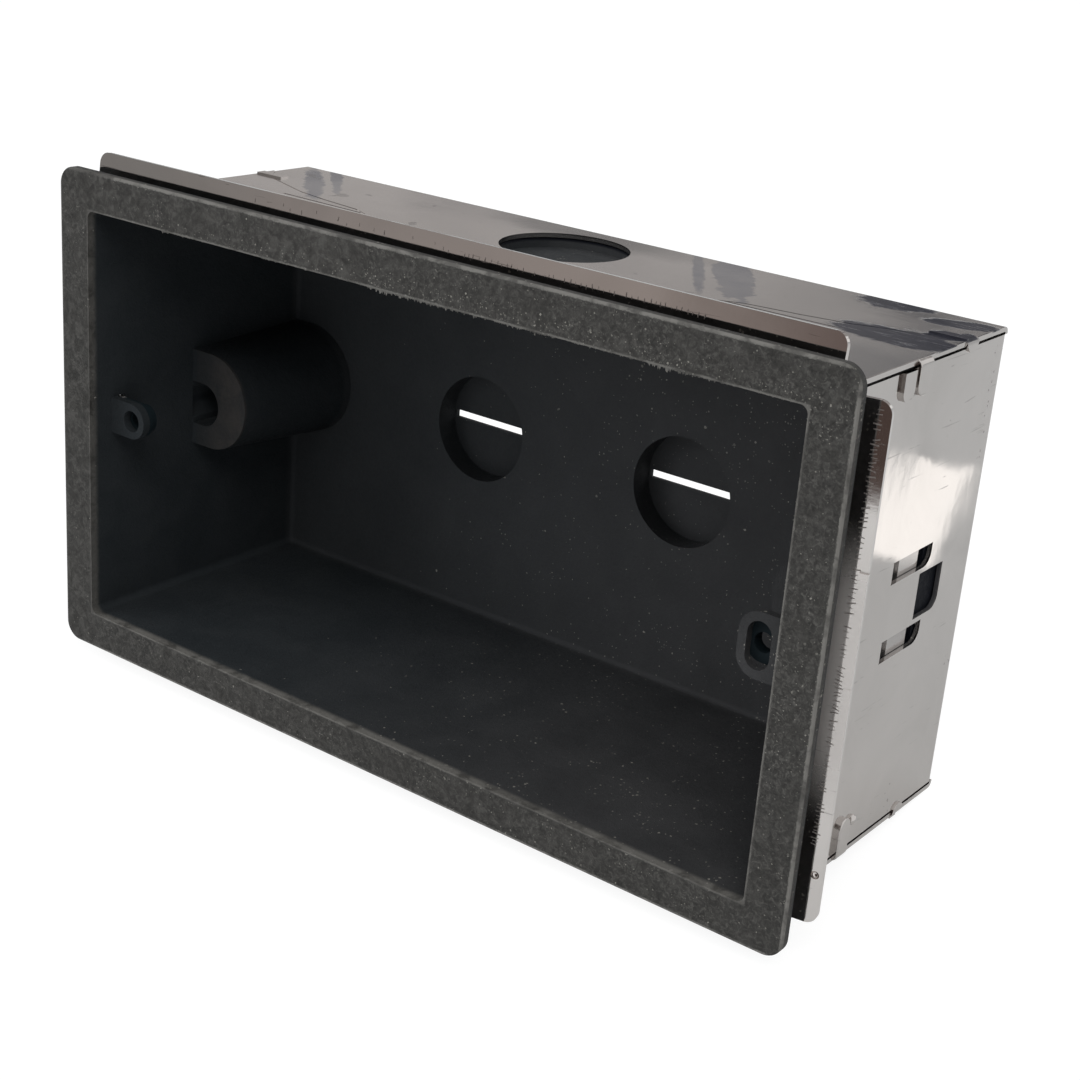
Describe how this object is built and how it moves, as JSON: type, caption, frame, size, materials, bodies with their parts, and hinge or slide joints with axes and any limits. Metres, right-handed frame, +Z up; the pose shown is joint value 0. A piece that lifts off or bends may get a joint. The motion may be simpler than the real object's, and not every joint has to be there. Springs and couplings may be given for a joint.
{
  "type": "electrical back box",
  "caption": "Folded steel back box for a double wall socket, lined with a moulded fire-stopping liner, with a fixed and a sliding faceplate lug and round conduit entries.",
  "frame": {"origin": "midway between the two faceplate screw holes, on the front faces of the lugs, with the sliding lug in its middle position", "axes": "+X along the box from the fixed lug to the sliding lug, +Y into the wall, +Z up, so the open side faces -Y"},
  "size_m": [0.1482, 0.0524, 0.0864],
  "materials": {
    "bright_sheet_steel": "bright rolled sheet, finely scratched",
    "black_liner": "matt moulded compound with light flecks"
  },
  "bodies": {
    "box": {"shell": "bright_sheet_steel", "liner": "black_liner"},
    "sliding_lug": {"adjustable_lug": "bright_sheet_steel"}
  },
  "joints": [
    {"name": "lug_slide", "type": "slide", "parent": "box", "child": "sliding_lug", "axis": [0, 0, 1], "range_m": [-0.0016, 0.0016]}
  ]
}
